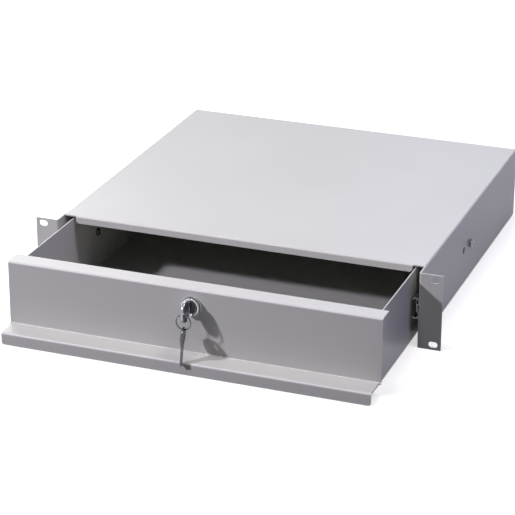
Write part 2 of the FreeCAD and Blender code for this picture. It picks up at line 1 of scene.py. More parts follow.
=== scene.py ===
"""Looks, light and camera of the sliding rack drawer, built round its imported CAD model.

Metres, in the CAD frame: the origin is the middle of the four ear slots, +X is to the right, +Y
runs into the rack and +Z is up.
"""

import bmesh
import bpy
import math
from mathutils import Matrix, Vector


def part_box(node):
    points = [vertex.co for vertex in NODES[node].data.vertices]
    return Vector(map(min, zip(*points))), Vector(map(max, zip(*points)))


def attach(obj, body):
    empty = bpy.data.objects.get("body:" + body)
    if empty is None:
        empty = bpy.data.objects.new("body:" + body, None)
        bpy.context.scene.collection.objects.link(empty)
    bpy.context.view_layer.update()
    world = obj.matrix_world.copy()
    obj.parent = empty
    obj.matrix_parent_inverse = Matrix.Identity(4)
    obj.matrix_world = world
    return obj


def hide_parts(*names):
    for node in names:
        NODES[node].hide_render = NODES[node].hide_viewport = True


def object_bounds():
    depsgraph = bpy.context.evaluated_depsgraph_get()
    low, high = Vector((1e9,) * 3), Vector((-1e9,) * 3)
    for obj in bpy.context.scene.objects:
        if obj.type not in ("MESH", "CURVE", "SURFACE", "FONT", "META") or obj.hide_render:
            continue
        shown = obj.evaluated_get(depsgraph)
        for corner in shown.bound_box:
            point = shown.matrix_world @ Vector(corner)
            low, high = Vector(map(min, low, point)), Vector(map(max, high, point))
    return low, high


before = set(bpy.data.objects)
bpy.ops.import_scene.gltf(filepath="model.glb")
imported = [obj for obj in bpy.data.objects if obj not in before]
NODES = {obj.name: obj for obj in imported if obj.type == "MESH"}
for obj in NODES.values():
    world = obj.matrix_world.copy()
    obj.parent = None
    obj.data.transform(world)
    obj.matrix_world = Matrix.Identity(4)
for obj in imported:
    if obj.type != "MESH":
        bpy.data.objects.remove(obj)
CAD_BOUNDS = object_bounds()
MM = 0.001


def box(node):
    """Lowest and highest corner of a CAD node."""
    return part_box(node)


# ---- Materials -------------------------------------------------------------------------------

NOISE_LOW = 0.3             # most of a noise texture's values lie between these two
NOISE_HIGH = 0.7
MIX_COLOUR_A = 6            # a Mix node's colour sockets, which share their names with others
MIX_COLOUR_B = 7
MIX_COLOUR_RESULT = 2
FLAT_AXIS = 0.99            # largest part of the normal where a sheet still counts as flat
BENT_AXIS = 0.86            # and where it counts as fully bent
GRAIN_RELIEF = 0.1 * MM


def material_nodes(name):
    """A new material with an empty node tree and its output node."""
    material = bpy.data.materials.new(name)
    material.use_nodes = True
    tree = material.node_tree
    tree.nodes.clear()
    output = tree.nodes.new("ShaderNodeOutputMaterial")
    return material, tree, output


def link(tree, source, target):
    tree.links.new(source, target)


def object_coordinates(tree, scale=(1, 1, 1)):
    coordinates = tree.nodes.new("ShaderNodeTexCoord")
    mapping = tree.nodes.new("ShaderNodeMapping")
    mapping.inputs["Scale"].default_value = scale
    link(tree, coordinates.outputs["Object"], mapping.inputs["Vector"])
    return mapping.outputs["Vector"]


def noise(tree, vector, scale, detail=2.0, roughness=0.5):
    node = tree.nodes.new("ShaderNodeTexNoise")
    node.inputs["Scale"].default_value = scale
    node.inputs["Detail"].default_value = detail
    node.inputs["Roughness"].default_value = roughness
    link(tree, vector, node.inputs["Vector"])
    return node.outputs["Fac"]


def ramp(tree, factor, stops):
    """Colour by a factor, from stops of (place, colour)."""
    node = tree.nodes.new("ShaderNodeValToRGB")
    elements = node.color_ramp.elements
    while len(elements) < len(stops):
        elements.new(0.5)
    for element, (place, colour) in zip(elements, stops):
        element.position = place
        element.color = (*colour, 1.0)
    link(tree, factor, node.inputs["Fac"])
    return node.outputs["Color"]


def spread(tree, factor, low_colour, high_colour):
    """Colour by a noise's value, from low to high."""
    return ramp(tree, factor, [(NOISE_LOW, low_colour), (NOISE_HIGH, high_colour)])


def bump(tree, height, strength, distance, normal=None):
    node = tree.nodes.new("ShaderNodeBump")
    node.inputs["Strength"].default_value = strength
    node.inputs["Distance"].default_value = distance
    link(tree, height, node.inputs["Height"])
    if normal is not None:
        link(tree, normal, node.inputs["Normal"])
    return node.outputs["Normal"]


def grey(value):
    return (value, value, value)


def bent_surface(tree):
    """0 on flat sheet and up to 1 round a bend, from how far the surface leans between axes."""
    normal = tree.nodes.new("ShaderNodeTexCoord").outputs["Normal"]
    split = tree.nodes.new("ShaderNodeSeparateXYZ")
    link(tree, normal, split.inputs[0])
    largest = None
    for axis in "XYZ":
        size = tree.nodes.new("ShaderNodeMath")
        size.operation = "ABSOLUTE"
        link(tree, split.outputs[axis], size.inputs[0])
        if largest is None:
            largest = size.outputs[0]
            continue
        either = tree.nodes.new("ShaderNodeMath")
        either.operation = "MAXIMUM"
        link(tree, largest, either.inputs[0])
        link(tree, size.outputs[0], either.inputs[1])
        largest = either.outputs[0]
    lean = tree.nodes.new("ShaderNodeMapRange")
    lean.inputs["From Min"].default_value = FLAT_AXIS
    lean.inputs["From Max"].default_value = BENT_AXIS
    link(tree, largest, lean.inputs["Value"])
    return lean.outputs[0]


PAINT_DARK = (0.590, 0.590, 0.550)
PAINT_LIGHT = (0.612, 0.612, 0.572)
# Not a second paint: it stands in for the bright lines that the photograph shows along bends,
# which are most likely highlights.
PAINTED_BEND_HIGHLIGHT = (0.74, 0.74, 0.71)
PAINT_SPECULAR = 0.2
PAINT_ROUGHNESS = (0.32, 0.42)
PAINT_TONE_SCALE = 9.0
PAINT_GLOSS_SCALE = 1400.0
PEEL_SCALE = 900.0
PEEL_STRENGTH = 0.10
PEEL_RELIEF = 0.25 * MM
FINE_PEEL_SCALE = 3000.0
FINE_PEEL_STRENGTH = 0.06
FINE_PEEL_RELIEF = 0.1 * MM


def powder_coat():
    """Light-grey satin powder coat: fine orange peel, slight unevenness in tone and gloss."""
    material, tree, output = material_nodes("powder_coat")
    shader = tree.nodes.new("ShaderNodeBsdfPrincipled")
    link(tree, shader.outputs["BSDF"], output.inputs["Surface"])
    vector = object_coordinates(tree)
    tone = noise(tree, vector, PAINT_TONE_SCALE, detail=3.0)
    # Lighter base colour round the bends: a painted highlight, not wear.
    bend_highlight = tree.nodes.new("ShaderNodeMix")
    bend_highlight.data_type = "RGBA"
    bend_highlight.inputs[MIX_COLOUR_B].default_value = (*PAINTED_BEND_HIGHLIGHT, 1)
    link(tree, bent_surface(tree), bend_highlight.inputs["Factor"])
    link(tree, spread(tree, tone, PAINT_DARK, PAINT_LIGHT), bend_highlight.inputs[MIX_COLOUR_A])
    link(tree, bend_highlight.outputs[MIX_COLOUR_RESULT], shader.inputs["Base Color"])
    gloss = noise(tree, vector, PAINT_GLOSS_SCALE)
    rough_low, rough_high = PAINT_ROUGHNESS
    link(tree, spread(tree, gloss, grey(rough_low), grey(rough_high)), shader.inputs["Roughness"])
    peel = noise(tree, vector, PEEL_SCALE)
    fine = noise(tree, vector, FINE_PEEL_SCALE, detail=1.0)
    coarse_normal = bump(tree, peel, PEEL_STRENGTH, PEEL_RELIEF)
    fine_normal = bump(tree, fine, FINE_PEEL_STRENGTH, FINE_PEEL_RELIEF, coarse_normal)
    link(tree, fine_normal, shader.inputs["Normal"])
    shader.inputs["Specular IOR Level"].default_value = PAINT_SPECULAR
    return material


METAL_PATCH_SCALE = 140.0
METAL_PATCH_DARKER = 0.86   # a patch's darkest tone, before any spots
METAL_PATCH_LOW = 0.32
METAL_PATCH_HIGH = 0.68
EVEN = (1, 1, 1)
DRAWN = (1, 0.05, 1)        # grain drawn out along the slides


def worked_metal(name, base, roughness, scale, strength, stretch=EVEN, spots=0.0):
    """Metal with a grain that may be drawn out, and tone and gloss that vary with it."""
    material, tree, output = material_nodes(name)
    shader = tree.nodes.new("ShaderNodeBsdfPrincipled")
    link(tree, shader.outputs["BSDF"], output.inputs["Surface"])
    shader.inputs["Metallic"].default_value = 1.0
    grain = noise(tree, object_coordinates(tree, stretch), scale, detail=4.0, roughness=0.6)
    patch = noise(
        tree, object_coordinates(tree), METAL_PATCH_SCALE, detail=3.0, roughness=0.6
    )
    dark = tuple(part * (METAL_PATCH_DARKER - spots) for part in base)
    tones = ramp(tree, patch, [(METAL_PATCH_LOW, dark), (METAL_PATCH_HIGH, base)])
    link(tree, tones, shader.inputs["Base Color"])
    smooth, rough = roughness
    link(tree, spread(tree, grain, grey(smooth), grey(rough)), shader.inputs["Roughness"])
    link(tree, bump(tree, grain, strength, GRAIN_RELIEF), shader.inputs["Normal"])
    return material


RUBBER_SCALE = 300.0
RUBBER_TONES = (0.02, 0.035)
RUBBER_ROUGHNESS = 0.7
RUBBER_STRENGTH = 0.2
RUBBER_RELIEF = 0.2 * MM


def rubber():
    material, tree, output = material_nodes("buffer_rubber")
    shader = tree.nodes.new("ShaderNodeBsdfPrincipled")
    link(tree, shader.outputs["BSDF"], output.inputs["Surface"])
    tone = noise(tree, object_coordinates(tree), RUBBER_SCALE, detail=3.0)
    low, high = RUBBER_TONES
    link(tree, spread(tree, tone, grey(low), grey(high)), shader.inputs["Base Color"])
    shader.inputs["Roughness"].default_value = RUBBER_ROUGHNESS
    link(tree, bump(tree, tone, RUBBER_STRENGTH, RUBBER_RELIEF), shader.inputs["Normal"])
    return material


paint = powder_coat()
# The bright metals are darker than real ones, because their mirror rays see the white backdrop;
# their darker base colours are a painted reflection of darker surroundings.
# Their levels were changed until this view looked like the photograph. The two keys are one metal,
# and the spare one is darker only for that reason.
# Name, base colour, smoothest and roughest, grain scale and strength.
zinc = worked_metal(
    "zinc_strip", (0.50, 0.51, 0.52), (0.26, 0.42), 900.0, 0.10, stretch=DRAWN, spots=0.06
)
bright_zinc = worked_metal("zinc_fastener", (0.36, 0.37, 0.39), (0.20, 0.34), 1200.0, 0.08)
cage_steel = worked_metal(
    "cage_steel", (0.52, 0.52, 0.53), (0.28, 0.42), 900.0, 0.08, stretch=DRAWN, spots=0.05
)
ball_steel = worked_metal("ball_steel", (0.80, 0.80, 0.82), (0.05, 0.12), 400.0, 0.02)
# The screw heads' dark base colour is painted reflection, like the other bright metals here.
dark_zinc = worked_metal("zinc_screw_head", (0.20, 0.205, 0.215), (0.16, 0.26), 1200.0, 0.06)
chrome = worked_metal("lock_chrome", (0.44, 0.44, 0.46), (0.06, 0.13), 500.0, 0.03)
plug_steel = worked_metal("lock_plug_nickel", (0.10, 0.10, 0.11), (0.16, 0.28), 900.0, 0.05)
nickel = worked_metal("key_nickel", (0.34, 0.34, 0.36), (0.14, 0.26), 700.0, 0.05)
# The spare key's darker base colour is painted reflection on the same nickel as the key in the
# lock.
spare_nickel_painted_reflection = worked_metal("key_nickel_painted_reflection", (0.11, 0.11, 0.12), (0.16, 0.28), 700.0, 0.05)
ring_steel = worked_metal("ring_steel", (0.12, 0.12, 0.13), (0.12, 0.22), 900.0, 0.04)
black_rubber = rubber()

NODE_MATERIALS = {
    "casing_shell": paint,
    "rear_panel": paint,
    "casing_rail_right": zinc,
    "casing_rail_left": zinc,
    "casing_rail_screws": dark_zinc,
    "rail_buffers": black_rubber,
    "ball_cage_right": cage_steel,
    "ball_cage_left": cage_steel,
    "balls_right": ball_steel,
    "balls_left": ball_steel,
    "drawer_front": paint,
    "drawer_tray": paint,
    "tray_rear_wall": paint,
    "front_nuts": bright_zinc,
    "drawer_rail_right": zinc,
    "drawer_rail_left": zinc,
    "drawer_rail_screws": dark_zinc,
    "lock_housing": chrome,
    "lock_washer": bright_zinc,
    "lock_nut": bright_zinc,
    "lock_plug": plug_steel,
    "lock_cam": zinc,
    "cam_screw": bright_zinc,
    "key": nickel,
    "key_ring": ring_steel,
    "spare_key": spare_nickel_painted_reflection,
}
for node_name, material in NODE_MATERIALS.items():
    mesh = NODES[node_name].data
    mesh.materials.clear()
    mesh.materials.append(material)

# ---- Mesh building ---------------------------------------------------------------------------

FINE = 1e-7                 # shorter than this counts as nothing
ARC_STEP = 9                # degrees of half a corner's turn that one step of its arc takes
THREAD_DEPTH = 0.6          # of the pitch
THREAD_ROWS = 8             # rows of points in one pitch


def new_object(name, build):
    """An object in the scene from a bmesh, with its normals outward."""
    bmesh.ops.recalc_face_normals(build, faces=build.faces)
    mesh = bpy.data.meshes.new(name)
    build.to_mesh(mesh)
    build.free()
    made = bpy.data.objects.new(name, mesh)
    bpy.context.scene.collection.objects.link(made)
    return made


def settled(made):
    """Work an object's modifiers into its mesh."""
    graph = bpy.context.evaluated_depsgraph_get()
    mesh = bpy.data.meshes.new_from_object(made.evaluated_get(graph))
    made.modifiers.clear()
    made.data = mesh
    return made


def carved(made, tools, operation="DIFFERENCE"):
    """Cut the tools out of an object, or keep or add what they hold."""
    for tool in tools:
        modifier = made.modifiers.new("carve", "BOOLEAN")
        modifier.operation = operation
        modifier.solver = "EXACT"
        modifier.object = tool
    settled(made)
    for tool in tools:
        bpy.data.objects.remove(tool)
    return made


def softened(made, width, segments=2, angle=35.0):
    """Break an object's sharp edges."""
    modifier = made.modifiers.new("soften", "BEVEL")
    modifier.width = width
    modifier.segments = segments
    modifier.limit_method = "ANGLE"
    modifier.angle_limit = math.radians(angle)
    modifier.use_clamp_overlap = True
    return settled(made)


def joined(name, parts):
    """One object from several, all still in their own places."""
    build = bmesh.new()
    for part in parts:
        part.data.transform(part.matrix_world)
        build.from_mesh(part.data)
        bpy.data.objects.remove(part)
    return new_object(name, build)


def finished(made, body, slot, material, *nodes, crease=38.0):
    """Shade a piece, give it its material and set it on its body; its slot is not used."""
    made.data.materials.clear()
    made.data.materials.append(material)
    made.data.shade_smooth()
    made.data.set_sharp_from_angle(angle=math.radians(crease))
    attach(made, body)
    if nodes:
        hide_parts(*nodes)
    return made


def pointing(place, direction):
    """A frame at a place whose own Z axis points in a direction."""
    turn = Vector(direction).to_track_quat("Z", "Y")
    return Matrix.Translation(place) @ turn.to_matrix().to_4x4()


def arced(points):
    """Flat path of (a, b) or (a, b, radius): an inner corner with a radius becomes an arc."""
    path = [Vector(points[0][:2])]
    for before, corner, after in zip(points, points[1:], points[2:]):
        middle_point = Vector(corner[:2])
        radius = corner[2] if len(corner) > 2 else 0.0
        if radius < FINE:
            path.append(middle_point)
            continue
        into = (middle_point - Vector(before[:2])).normalized()
        out = (Vector(after[:2]) - middle_point).normalized()
        half_turn = into.angle(out) / 2
        back = radius * math.tan(half_turn)
        first = middle_point - into * back
        last = middle_point + out * back
        steps = max(2, round(math.degrees(half_turn) / ARC_STEP))
        # A quadratic through the corner, close enough to an arc for so small an edge.
        for index in range(steps + 1):
            share = index / steps
            rest = 1 - share
            path.append(
                first * rest ** 2 + middle_point * 2 * share * rest + last * share ** 2
            )
    path.append(Vector(points[-1][:2]))
    return path


def turned(name, points, frame_at, segments=64):
    """A solid of revolution round the frame's Z axis, from a path of (radius, height)."""
    build = bmesh.new()
    rings = []
    for radius, height in arced(points):
        if radius < FINE:
            rings.append([build.verts.new(frame_at @ Vector((0, 0, height)))])
            continue
        ring = []
        for index in range(segments):
            angle = 2 * math.pi * index / segments
            local = Vector((radius * math.cos(angle), radius * math.sin(angle), height))
            ring.append(build.verts.new(frame_at @ local))
        rings.append(ring)
    closed = len(rings[0]) > 1 and len(rings[-1]) > 1
    pairs = list(zip(rings, rings[1:]))
    if closed:
        pairs.append((rings[-1], rings[0]))
    for low_ring, high_ring in pairs:
        for index in range(segments):
            after = (index + 1) % segments
            corners = [low_ring[index % len(low_ring)], low_ring[after % len(low_ring)]]
            corners += [high_ring[after % len(high_ring)], high_ring[index % len(high_ring)]]
            face = list(dict.fromkeys(corners))
            if len(face) > 2:
                build.faces.new(face)
    return new_object(name, build)


def prism(name, outline, low, high, frame_at, shrink=1.0):
    """A closed prism along the frame's Z axis; shrink tapers its low end."""
    build = bmesh.new()
    bottom = [
        build.verts.new(frame_at @ Vector((a * shrink, b * shrink, low))) for a, b in outline
    ]
    top = [build.verts.new(frame_at @ Vector((a, b, high))) for a, b in outline]
    build.faces.new(bottom[::-1])
    build.faces.new(top)
    count = len(outline)
    for index in range(count):
        after = (index + 1) % count
        build.faces.new((bottom[index], bottom[after], top[after], top[index]))
    return new_object(name, build)


def polygon(sides, radius):
    turns = [2 * math.pi * index / sides for index in range(sides)]
    return [(radius * math.cos(angle), radius * math.sin(angle)) for angle in turns]


def thread(name, radius, pitch, low, high, frame_at, segments=28):
    """A threaded rod along the frame's Z axis."""
    depth = THREAD_DEPTH * pitch
    rows = max(3, round((high - low) / pitch * THREAD_ROWS))
    build = bmesh.new()
    rings = []
    for row in range(rows + 1):
        height = low + (high - low) * row / rows
        ring = []
        for index in range(segments):
            share = index / segments
            phase = (height / pitch - share) % 1.0
            reach = radius - depth * (1 - abs(2 * phase - 1))
            angle = 2 * math.pi * share
            local = Vector((reach * math.cos(angle), reach * math.sin(angle), height))
            ring.append(build.verts.new(frame_at @ local))
        rings.append(ring)
    for low_ring, high_ring in zip(rings, rings[1:]):
        for index in range(segments):
            after = (index + 1) % segments
            build.faces.new(
                (low_ring[index], low_ring[after], high_ring[after], high_ring[index])
            )
    build.faces.new(rings[0][::-1])
    build.faces.new(rings[-1])
    return new_object(name, build)


# ---- Screws, nuts and studs ------------------------------------------------------------------

SCREW_HEAD = 4.7 * MM       # radius
SCREW_SHANK = 2.5 * MM      # radius
SCREW_PITCH = 0.8 * MM
DRAWER_HEAD_HEIGHT = 2.6 * MM
CASING_HEAD_HEIGHT = 3.8 * MM
DRAWER_SHANK_LENGTH = 3.4 * MM
CASING_SHANK_LENGTH = 4.7 * MM
RECESS_REACH = 2.9 * MM     # cross recess, from the screw's axis to a wing's end
RECESS_HALF_WIDTH = 0.8 * MM
RECESS_TAPER = 0.42         # the recess's foot against its mouth
RECESS_DEPTH = 0.72         # of the head's height
CONE_MOUTH = 1.75 * MM
HEAD_CROWN = 0.62           # of the head's height, where its side turns into the dome


def cross_outline(reach, half):
    """A plus sign, drawn round its middle."""
    arm = [(reach, -half), (reach, half), (half, half)]
    outline = []
    for quarter in range(4):
        cosine = round(math.cos(quarter * math.pi / 2))
        sine = round(math.sin(quarter * math.pi / 2))
        outline += [(a * cosine - b * sine, a * sine + b * cosine) for a, b in arm]
    return outline


def recessed_head(name, frame_at, radius, height, depth):
    """A pan head with its cross recess; the frame's Z axis points out of it from the seat."""
    profile = [                 # radius, height, corner radius
        (0.0, 0.0),
        (radius - 0.15 * MM, 0.0, 0.1 * MM),
        (radius, 0.25 * MM, 0.1 * MM),
        (radius, height * HEAD_CROWN, height * 0.45),
        (radius * 0.80, height * 0.96, height * 0.4),
        (0.0, height),
    ]
    head = turned(name, profile, frame_at, 48)
    wings = prism(
        "wings",
        cross_outline(RECESS_REACH, RECESS_HALF_WIDTH),
        height - depth,
        height + 0.5 * MM,
        frame_at,
        RECESS_TAPER,
    )
    cone = turned(
        "cone",
        [
            (0.0, height - depth * 1.06),
            (0.55 * MM, height - depth * 0.9),
            (CONE_MOUTH, height + 0.4 * MM),
            (0.0, height + 0.4 * MM),
        ],
        frame_at,
        24,
    )
    return carved(head, [wings, cone])


def cross_screws(name, node, head_height, shank_length, heads_out):
    """All screws of one slide fastener node, at the places its box gives."""
    low, high = box(node)
    middle_z = (low.z + high.z) / 2
    depth = head_height * RECESS_DEPTH
    parts = []
    seat_x = high.x - (head_height if heads_out else shank_length)
    for side in (-1, 1):
        for place_y in (low.y + SCREW_HEAD, high.y - SCREW_HEAD):
            out = side if heads_out else -side
            seat = (side * seat_x, place_y, middle_z)
            at = pointing(seat, (out, 0, 0))
            parts.append(recessed_head("head", at, SCREW_HEAD, head_height, depth))
            back = pointing(seat, (-out, 0, 0))
            parts.append(thread("shank", SCREW_SHANK, SCREW_PITCH, 0.0, shank_length, back))
    return joined(name, parts)


casing_screws = cross_screws(
    "casing_cross_screws", "casing_rail_screws", CASING_HEAD_HEIGHT, CASING_SHANK_LENGTH, True
)
finished(casing_screws, "casing", "screw_zinc", dark_zinc, "casing_rail_screws")
drawer_screws = cross_screws(
    "drawer_cross_screws", "drawer_rail_screws", DRAWER_HEAD_HEIGHT, DRAWER_SHANK_LENGTH, False
)
finished(drawer_screws, "drawer", "screw_zinc", dark_zinc, "drawer_rail_screws")


NUT_CHAMFER_START = 0.97    # of half the flats, where a nut's chamfer begins
NUT_CHAMFER_FALL = 0.9      # of what the corners reach beyond the flats
COUNTERSINK = 0.55 * MM     # how far a nut's countersink is wider than its bore
THREAD_PLAY = 0.02 * MM


def hexagon_nut(name, frame_at, flats, height, bore, pitch):
    """A nut chamfered on both faces, with its thread; the frame's Z axis runs through it."""
    corner = flats / math.sqrt(3)
    chamfer_start = flats / 2 * NUT_CHAMFER_START
    root = THREAD_DEPTH * pitch
    nut = prism(name, polygon(6, corner), 0.0, height, frame_at)
    fall = (corner - flats / 2) * NUT_CHAMFER_FALL
    keep = turned(
        "keep",
        [
            (0.0, -0.01 * MM),
            (chamfer_start, -0.01 * MM),
            (corner + 0.1 * MM, fall),
            (corner + 0.1 * MM, height - fall),
            (chamfer_start, height + 0.01 * MM),
            (0.0, height + 0.01 * MM),
        ],
        frame_at,
        72,
    )
    carved(nut, [keep], "INTERSECT")
    countersink = turned(
        "countersink",
        [
            (0.0, -0.5 * MM),
            (bore + COUNTERSINK, -0.5 * MM),
            (bore - root, root),
            (bore - root, height - root),
            (bore + COUNTERSINK, height + 0.5 * MM),
            (0.0, height + 0.5 * MM),
        ],
        frame_at,
        40,
    )
    tap = thread("tap", bore, pitch, -0.6 * MM, height + 0.6 * MM, frame_at)
    return carved(nut, [countersink, tap])


NUT_FLATS = 7.0 * MM
NUT_HEIGHT = 3.2 * MM
STUD_COLUMNS = (-182.0 * MM, -64.0 * MM, 64.0 * MM, 182.0 * MM)
STUD_RADIUS = 2.0 * MM
STUD_PITCH = 0.7 * MM
STUD_PROUD = 3.6 * MM       # the stud's end beyond its nut
STUD_PLAIN_TIP = 0.35 * MM
STUD_THREAD_OVER = 0.30 * MM    # how far the thread stands out over the stud's CAD cylinder

nut_low, nut_high = box("front_nuts")
stud_z = (nut_low.z + nut_high.z) / 2
nut_bore = STUD_RADIUS + THREAD_PLAY
thread_radius = STUD_RADIUS + STUD_THREAD_OVER
thread_end = NUT_HEIGHT + STUD_PROUD - STUD_PLAIN_TIP
nuts = []
threads = []
for column in STUD_COLUMNS:
    at = pointing((column, nut_low.y, stud_z), (0, 1, 0))
    nuts.append(hexagon_nut("nut", at, NUT_FLATS, NUT_HEIGHT, nut_bore, STUD_PITCH))
    threads.append(thread("stud", thread_radius, STUD_PITCH, NUT_HEIGHT, thread_end, at))
front_nuts = joined("front_hexagon_nuts", nuts)
finished(front_nuts, "drawer", "screw_zinc", bright_zinc, "front_nuts")
stud_threads = joined("stud_threads", threads)
finished(stud_threads, "drawer", "screw_zinc", bright_zinc)

# ---- Cam lock --------------------------------------------------------------------------------

HEAD_RADIUS = 10.75 * MM
HEAD_HEIGHT = 7.0 * MM
CAP_RADIUS = 10.40 * MM
PLUG_FACE_RADIUS = 7.0 * MM
PLUG_RECESS = 1.2 * MM
PLUG_BODY_RADIUS = 6.0 * MM
PLUG_FACE_HEIGHT = 2.0 * MM
PLUG_GAP = 0.08 * MM
BARREL_RADIUS = 9.0 * MM
BARREL_HALF_FLATS = 8.0 * MM
BARREL_PITCH = 1.25 * MM
CAM_POST = 3.0 * MM         # half the square post's side
CAM_SHEET = 2.0 * MM

lock_low, lock_high = box("lock_housing")
lock_middle = (lock_low + lock_high) / 2
FACE_Y = lock_low.y + HEAD_HEIGHT
lock_front = pointing((lock_middle.x, FACE_Y, lock_middle.z), (0, -1, 0))
BARREL_END = FACE_Y - lock_high.y           # heights count outward from the drawer's face
CAM_FRONT = FACE_Y - box("lock_cam")[0].y
PLUG_FRONT = HEAD_HEIGHT - PLUG_RECESS
RECESS_FLOOR = PLUG_FRONT - PLUG_FACE_HEIGHT - PLUG_GAP


def slab(name, half_x, half_y, low, high, frame_at):
    """A rectangular bar along the frame's Z axis."""
    corners = [(-half_x, -half_y), (half_x, -half_y), (half_x, half_y), (-half_x, half_y)]
    return prism(name, corners, low, high, frame_at)


def lock_head():
    """Stepped head with a bevelled mouth round the plug, and threaded barrel with two flats."""
    bore = PLUG_BODY_RADIUS + PLUG_GAP
    head = turned(
        "head",
        [                       # radius, height, corner radius
            (bore, 0.0),
            (HEAD_RADIUS, 0.0),
            (HEAD_RADIUS, 1.15 * MM, 0.35 * MM),
            (CAP_RADIUS, 1.45 * MM, 0.15 * MM),
            (CAP_RADIUS, HEAD_HEIGHT, 1.25 * MM),
            (8.55 * MM, HEAD_HEIGHT, 0.30 * MM),
            (7.30 * MM, 5.95 * MM, 0.15 * MM),
            (PLUG_FACE_RADIUS + PLUG_GAP, 5.85 * MM),
            (PLUG_FACE_RADIUS + PLUG_GAP, RECESS_FLOOR),
            (bore, RECESS_FLOOR),
        ],
        lock_front,
        96,
    )
    barrel = thread(
        "barrel", BARREL_RADIUS, BARREL_PITCH, BARREL_END, 0.0, lock_front, segments=64
    )
    flats = slab("flats", BARREL_HALF_FLATS, 2 * BARREL_RADIUS, 2 * BARREL_END, 1 * MM, lock_front)
    carved(barrel, [flats], "INTERSECT")
    drill_path = [(0.0, 2 * BARREL_END), (bore, 2 * BARREL_END), (bore, 1 * MM), (0.0, 1 * MM)]
    carved(barrel, [turned("drill", drill_path, lock_front)])
    return joined("lock_head", [head, barrel])


# The keyway's outline, with the wards that fit the key's two grooves; (across, up) from the axis.
KEYWAY = (
    (-1.2 * MM, -4.0 * MM),
    (1.2 * MM, -4.0 * MM),
    (1.2 * MM, -1.20 * MM),
    (0.78 * MM, -0.95 * MM),
    (0.78 * MM, 0.55 * MM),
    (1.2 * MM, 0.80 * MM),
    (1.2 * MM, 4.0 * MM),
    (-1.2 * MM, 4.0 * MM),
    (-1.2 * MM, 2.05 * MM),
    (-0.80 * MM, 1.80 * MM),
    (-0.80 * MM, 0.95 * MM),
    (-1.2 * MM, 0.70 * MM),
)
KEYWAY_DEPTH = 22.5 * MM
SCREW_HOLE_RADIUS = 2.02 * MM
SCREW_HOLE_DEPTH = 7 * MM


def plug():
    """Turning plug: rimmed face, keyway and the square post with its screw hole."""
    body = turned(
        "plug",
        [                       # radius, height, corner radius
            (0.0, CAM_FRONT),
            (PLUG_BODY_RADIUS, CAM_FRONT, 0.2 * MM),
            (PLUG_BODY_RADIUS, RECESS_FLOOR + PLUG_GAP),
            (PLUG_FACE_RADIUS, RECESS_FLOOR + PLUG_GAP),
            (PLUG_FACE_RADIUS, PLUG_FRONT, 0.45 * MM),
            (5.7 * MM, PLUG_FRONT, 0.1 * MM),
            (5.4 * MM, PLUG_FRONT - 0.28 * MM, 0.1 * MM),
            (0.0, PLUG_FRONT - 0.28 * MM),
        ],
        lock_front,
        72,
    )
    post = slab("post", CAM_POST, CAM_POST, CAM_FRONT - CAM_SHEET, CAM_FRONT + 1 * MM, lock_front)
    carved(body, [post], "UNION")
    keyway = prism("keyway", KEYWAY, PLUG_FRONT - KEYWAY_DEPTH, PLUG_FRONT + 1 * MM, lock_front)
    end = CAM_FRONT - CAM_SHEET
    hole_path = [
        (0.0, end - 1 * MM),
        (SCREW_HOLE_RADIUS, end - 1 * MM),
        (SCREW_HOLE_RADIUS, end + SCREW_HOLE_DEPTH),
        (0.0, end + SCREW_HOLE_DEPTH),
    ]
    return carved(body, [keyway, turned("hole", hole_path, lock_front, 32)])


finished(lock_head(), "drawer", "lock_chrome", chrome, "lock_housing")
lock_face = plug()
lock_face.name = "lock_plug_face"
finished(lock_face, "lock_core", "lock_plug_steel", plug_steel, "lock_plug")

LOCK_NUT_FLATS = 24.0 * MM
lock_nut_low, lock_nut_high = box("lock_nut")
lock_nut = hexagon_nut(
    "lock_hexagon_nut",
    pointing((lock_middle.x, lock_nut_low.y, lock_middle.z), (0, 1, 0)),
    LOCK_NUT_FLATS,
    lock_nut_high.y - lock_nut_low.y,
    BARREL_RADIUS + THREAD_PLAY,
    BARREL_PITCH,
)
finished(lock_nut, "drawer", "screw_zinc", bright_zinc, "lock_nut")

CAM_SCREW_HEAD = 4.5 * MM
CAM_SCREW_SHANK = 2.0 * MM
CAM_SCREW_PITCH = 0.7 * MM
CAM_SCREW_LENGTH = 7.0 * MM
CAM_SCREW_RECESS = 1.6 * MM
screw_low, screw_high = box("cam_screw")
cam_seat = (lock_middle.x, screw_low.y + CAM_SCREW_LENGTH, lock_middle.z)
cam_head = recessed_head(
    "cam_head",
    pointing(cam_seat, (0, 1, 0)),
    CAM_SCREW_HEAD,
    screw_high.y - cam_seat[1],
    CAM_SCREW_RECESS,
)
cam_shank = thread(
    "cam_shank",
    CAM_SCREW_SHANK,
    CAM_SCREW_PITCH,
    0.0,
    CAM_SCREW_LENGTH,
    pointing(cam_seat, (0, -1, 0)),
)
cam_cross_screw = joined("cam_cross_screw", [cam_head, cam_shank])
finished(cam_cross_screw, "lock_core", "screw_zinc", bright_zinc, "cam_screw")

# ---- Keys and split ring ---------------------------------------------------------------------

KEY_HALF = 1.0 * MM
BLADE_HALF = 3.7 * MM
BLADE_LENGTH = 21.0 * MM
COLLAR_HALF = 5.0 * MM
BOW_MIDDLE = -12.2 * MM     # along the blade's axis from the shoulder
BOW_HALF_LENGTH = 10.0 * MM
BOW_HALF_WIDTH = 11.75 * MM
KEY_HOLE_RADIUS = 2.2 * MM
KEY_HOLE_PLACE = -18.2 * MM
KEY_BITES = (1.0 * MM, 1.8 * MM, 0.6 * MM, 1.4 * MM)
COLLAR_CHAMFER = 0.4 * MM
BOW_RIM = 1.7 * MM          # width of the rim round the bow's pocket
BOW_POCKET = 0.32 * MM      # its depth
BOW_BOSS_RADIUS = 3.5 * MM
KEY_EDGE = 0.14 * MM
# Along the blade, up, and across it: the axes of the key's outline and thickness.
KEY_AXES = Matrix(((0, 0, 1, 0), (1, 0, 0, 0), (0, 1, 0, 0), (0, 0, 0, 1)))


